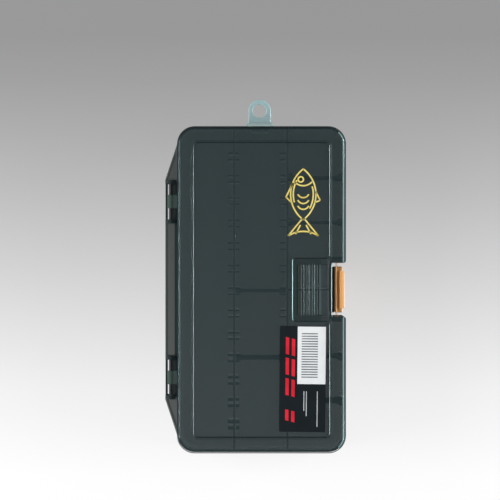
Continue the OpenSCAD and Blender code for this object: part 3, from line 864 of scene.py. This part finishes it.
def add_to_label(name, bm, material, nodes=()):
    """Adds a part of the label, turned as the label is stuck on, a little askew."""
    bmesh.ops.rotate(bm, verts=bm.verts[:], cent=LABEL_MIDDLE,
                     matrix=Matrix.Rotation(LABEL_TURN, 3, "Z"))
    add_piece(name, bm, material, "lid", nodes)


def build_label():
    x0, y0, z0 = (v / MM for v in LABEL_LOW)
    x1, y1, z1 = (v / MM for v in LABEL_HIGH)
    film = bmesh.new()
    plate(film, (x0, y0, z0), (x1, y1, z1))
    corners = [e for e in film.edges if abs((e.verts[0].co - e.verts[1].co).z) > TOUCHING]
    round_edges(film, corners, LABEL_CORNER_R, segments=3)
    add_to_label("label_film", film, FILM, ["label"])

    low, top = z1 - INK_SINKS, z1 + INK_STANDS
    white = bmesh.new()
    plate(white, (x1 - WHITE_X[0], y0 + WHITE_Y[0], low),
          (x1 - WHITE_X[1], y0 + WHITE_Y[1], top))
    add_to_label("label_write_on_panel", white, PAPER)

    rules = bmesh.new()
    for i in range(RULE_COUNT):
        x = x1 - RULES_X - i * RULE_PITCH
        plate(rules, (x - RULE_W, y0 + RULES_Y[0], top - RULE_SINKS),
              (x, y0 + RULES_Y[1], top + RULE_STANDS))
    add_to_label("label_rules", rules, GREY_INK)

    bars = bmesh.new()
    for back, length in BARS:
        for row in BAR_ROWS:
            x, y = x1 - back, y1 - row
            plate(bars, (x, y, low), (x + length, y + BAR_W, top))
    slant = Matrix.Identity(4)
    slant[0][1] = BAR_SLANT
    bmesh.ops.transform(bars, verts=bars.verts[:], matrix=slant,
                        space=Matrix.Translation(-LABEL_HIGH))
    add_to_label("label_bars", bars, RED_INK)

    lines = bmesh.new()
    for row, later in LINES:
        y = y0 + row
        plate(lines, (x0 + LINES_START + later, y, low), (x1 - LINES_X, y + LINE_W, top))
    add_to_label("label_lines", lines, PALE_INK)


# ---- the gold fish ----

# Places on the fish count from its middle, in millimetres, with its nose towards +X. An arc
# is a centre, a radius, and its first and last degree. A line is its two ends.
FISH_X, FISH_Y = 54.2, -27.2
GOLD_LINE = 0.85
GOLD_T = 0.04
# Degrees to a step of an arc, and its least steps
ARC_STEP, ARC_STEPS = 5, 4
BODY_HALF_L, BODY_HALF_W = 14.4, 7.2
# The inner line of the back and belly: how far in, and its two parts of the outer reach
INNER_LINE, INNER_FIRST, INNER_LAST = 1.5, 0.55, 0.3
EYE = ((8.5, 1.4), 1.5, 0, 360)
GILL = ((11.5, 0), 6.6, 132, 228)
SCALES = [((x, 0), 3.4, 115, 245) for x in (1.5, -1.8, -5.1)]
TAIL_LINES = [((x0, side * y0), (x1, side * y1)) for side in (-1, 1)
              for x0, y0, x1, y1 in ((-13.6, 0.4, -23.6, 8.6), (-17.4, 1.6, -22.6, 4.4))]
TAIL_END = ((-36.2, 0), 15.2, -34, 34)
FIN_LINES = (((6.4, 6.0), (-1.6, 9.8)), ((-1.6, 9.8), (-4.4, 6.9)),
             ((1.6, -7.0), (-3.4, -9.6)), ((-3.4, -9.6), (-4.6, -6.6)))


def gold_arc(bm, centre, radius, first, last):
    """A flat line along part of a circle, from first to last in degrees."""
    centre = Vector((*centre, 0)) * MM
    ends = [bm.verts.new(centre + Vector((radius + side * GOLD_LINE / 2, 0, 0)) * MM)
            for side in (-1, 1)]
    across = bm.edges.new(ends)
    bmesh.ops.rotate(bm, verts=ends, cent=centre,
                     matrix=Matrix.Rotation(math.radians(first), 3, "Z"))
    bmesh.ops.spin(bm, geom=ends + [across], cent=centre, axis=(0, 0, 1),
                   angle=math.radians(last - first),
                   steps=max(ARC_STEPS, round((last - first) / ARC_STEP)),
                   use_merge=last - first == 360)


def gold_line(bm, a, b):
    """A flat straight line between two points."""
    a, b = Vector((*a, 0)), Vector((*b, 0))
    turn = math.atan2(b.y - a.y, b.x - a.x)
    bmesh.ops.create_grid(bm, x_segments=1, y_segments=1, size=0.5,
                          matrix=Matrix.Translation((a + b) / 2 * MM)
                          @ Matrix.Rotation(turn, 4, "Z")
                          @ Matrix.Diagonal(((b - a).length * MM, GOLD_LINE * MM, 1, 1)))


def build_gold_fish():
    """A plain fish in gold line on the lid's panel, its nose towards the hanging tab."""
    bm = bmesh.new()
    radius = (BODY_HALF_L ** 2 + BODY_HALF_W ** 2) / (2 * BODY_HALF_W)
    reach = math.degrees(math.asin(BODY_HALF_L / radius))
    for side, middle in ((90, BODY_HALF_W - radius), (270, radius - BODY_HALF_W)):
        gold_arc(bm, (0, middle), radius, side - reach, side + reach)
        gold_arc(bm, (0, middle), radius - INNER_LINE, side - INNER_FIRST * reach,
                 side + INNER_LAST * reach)
    for arc in (EYE, GILL, *SCALES):
        gold_arc(bm, *arc)
    for ends in TAIL_LINES:
        gold_line(bm, *ends)
    gold_arc(bm, *TAIL_END)
    for ends in FIN_LINES:
        gold_line(bm, *ends)
    bmesh.ops.recalc_face_normals(bm, faces=bm.faces[:])
    bmesh.ops.solidify(bm, geom=bm.faces[:], thickness=GOLD_T * MM)
    bmesh.ops.recalc_face_normals(bm, faces=bm.faces[:])
    bmesh.ops.translate(bm, verts=bm.verts[:],
                        vec=Vector((FISH_X, FISH_Y, PANEL_Z / MM)) * MM)
    add_piece("gold_fish", bm, GOLD_INK, "lid")


# ---- studio ----

FLOOR_HALF = 6.0
FLOOR_Z = -0.15 * MM
# The floor greys between these x, and takes these screen levels at shares of the way
GREY_FROM_TO = (-0.109, 0.148)
FLOOR_GREYS = ((0.0, 255), (0.2, 243), (0.33, 229), (0.47, 212), (0.62, 194), (0.78, 175),
               (0.90, 161), (1.0, 153))
# How much of the floor's colour the camera sees unlit, and the floor's colour in reflections
FLOOR_UNLIT = 0.85
FLOOR_REFLECTED = rgb(0.05, 0.05, 0.05)
WORLD_LIGHT = 0.15
BACKDROP = rgb(0.8, 0.8, 0.8)

PHOTO_PX = 500
MM_PER_PX = 0.5684
LENS, SENSOR = 150.0, 36.0
CAMERA_X, CAMERA_Y = 22.6 * MM, 3.05 * MM
# The height at which a pixel is MM_PER_PX
SCALE_Z = 32 * MM


def build_floor():
    """Pale floor, greyer beyond the tab end as in the photograph, with the case's shadow."""
    bm = bmesh.new()
    bmesh.ops.create_grid(bm, x_segments=1, y_segments=1, size=FLOOR_HALF,
                          matrix=Matrix.Translation((0, 0, FLOOR_Z)))
    mesh = bpy.data.meshes.new("floor")
    bm.to_mesh(mesh)
    bm.free()
    floor = bpy.data.objects.new("floor", mesh)
    bpy.context.scene.collection.objects.link(floor)
    material = bpy.data.materials.new("pale_floor")
    material.use_nodes = True
    tree = material.node_tree
    tree.nodes.clear()
    place = add_node(tree, "TexCoord").outputs["Object"]
    along = add_node(tree, "SeparateXYZ", {0: place}).outputs["X"]
    way = add_node(tree, "MapRange", {0: along, 1: GREY_FROM_TO[0], 2: GREY_FROM_TO[1]})
    grey = add_node(tree, "ValToRGB", {0: way.outputs[0]})
    points = grey.color_ramp.elements
    for i, (position, level) in enumerate(FLOOR_GREYS):
        point = points[i] if i < 2 else points.new(position)
        point.position = position
        point.color = from_screen(level)
    lit = add_node(tree, "BsdfDiffuse", {"Color": grey.outputs[0]})
    unlit = add_node(tree, "Emission", {"Color": grey.outputs[0]})
    path = add_node(tree, "LightPath")
    share = calc(tree, "MULTIPLY", path.outputs["Is Camera Ray"], FLOOR_UNLIT)
    seen = add_node(tree, "MixShader", {0: share, 1: lit.outputs[0], 2: unlit.outputs[0]})
    dim = add_node(tree, "BsdfDiffuse", {"Color": FLOOR_REFLECTED})
    mix = add_node(tree, "MixShader", {0: path.outputs["Is Glossy Ray"], 1: seen.outputs[0],
                                       2: dim.outputs[0]})
    out = add_node(tree, "OutputMaterial")
    tree.links.new(mix.outputs[0], out.inputs["Surface"])
    mesh.materials.append(material)


def build_world():
    """Faint even light, and the backdrop that the camera sees beyond the floor."""
    world = bpy.data.worlds.new("studio")
    bpy.context.scene.world = world
    world.use_nodes = True
    tree = world.node_tree
    tree.nodes.clear()
    seen = add_node(tree, "LightPath").outputs["Is Camera Ray"]
    light = add_node(tree, "Background", {"Color": rgb(1, 1, 1), "Strength": WORLD_LIGHT})
    backdrop = add_node(tree, "Background", {"Color": BACKDROP, "Strength": 1.0})
    mix = add_node(tree, "MixShader", {0: seen, 1: light.outputs[0], 2: backdrop.outputs[0]})
    out = add_node(tree, "OutputWorld")
    tree.links.new(mix.outputs[0], out.inputs["Surface"])


def add_softbox(name, side, distance, elevation, height, width, radiance):
    """A softbox beside one long side of the case, facing it: side is 1 for the rear and -1
    for the front, and elevation is in degrees."""
    light = bpy.data.lights.new(name, "AREA")
    light.shape = "RECTANGLE"
    light.size = width
    light.size_y = height
    light.energy = radiance * math.pi * width * height
    softbox = bpy.data.objects.new(name, light)
    rise = math.radians(elevation)
    softbox.location = (0, side * distance * math.cos(rise), distance * math.sin(rise))
    softbox.rotation_euler = (side * (rise - math.radians(90)), 0, 0)
    softbox.visible_camera = False
    bpy.context.scene.collection.objects.link(softbox)


def build_camera():
    """The camera, straight above, framed as the photograph is."""
    camera_data = bpy.data.cameras.new("camera")
    camera_data.lens = LENS
    camera_data.sensor_width = SENSOR
    camera_data.clip_start = 0.01
    camera = bpy.data.objects.new("camera", camera_data)
    picture_width = PHOTO_PX * MM_PER_PX * MM
    camera.location = (CAMERA_X, CAMERA_Y, SCALE_Z + picture_width * LENS / SENSOR)
    camera.rotation_euler = (0, 0, math.radians(-90))
    bpy.context.scene.collection.objects.link(camera)
    bpy.context.scene.camera = camera


build_tray()
build_lid()
# The latch's nose takes painted shade and the tab's foot a painted highlight
build_small("latch", "snap_latch", AMBER, "latch", SMALL_EDGE_R,
            segments=3, frost_and_painted_light=latch_painted_shade, set_depth_and_shade=latch_depth)
build_small("hang_tab", "hanging_tab", CLEAR, "hanger", SMALL_EDGE_R,
            frost_and_painted_light=tab_painted_highlight, set_depth_and_shade=tab_depth)
for side in ("left", "right"):
    build_small("hinge_pin_" + side, "steel_pin_" + side, STEEL, "base",
                PIN_EDGE_R)
for row, count in (("middle", 2), ("front", 4)):
    for i in range(1, count + 1):
        build_small(f"divider_{row}_{i}", f"loose_divider_{row}_{i}", TRAY_SMOKE, "base",
                    DIVIDER_EDGE_R)
build_label()
build_gold_fish()

build_floor()
build_world()
add_softbox("softbox_rear", side=1, distance=0.95, elevation=22.0, height=0.36, width=0.71,
            radiance=16.0)
add_softbox("softbox_front", side=-1, distance=0.95, elevation=13.0, height=0.42, width=0.71,
            radiance=17.0)
build_camera()

bpy.context.scene.view_settings.view_transform = "Standard"
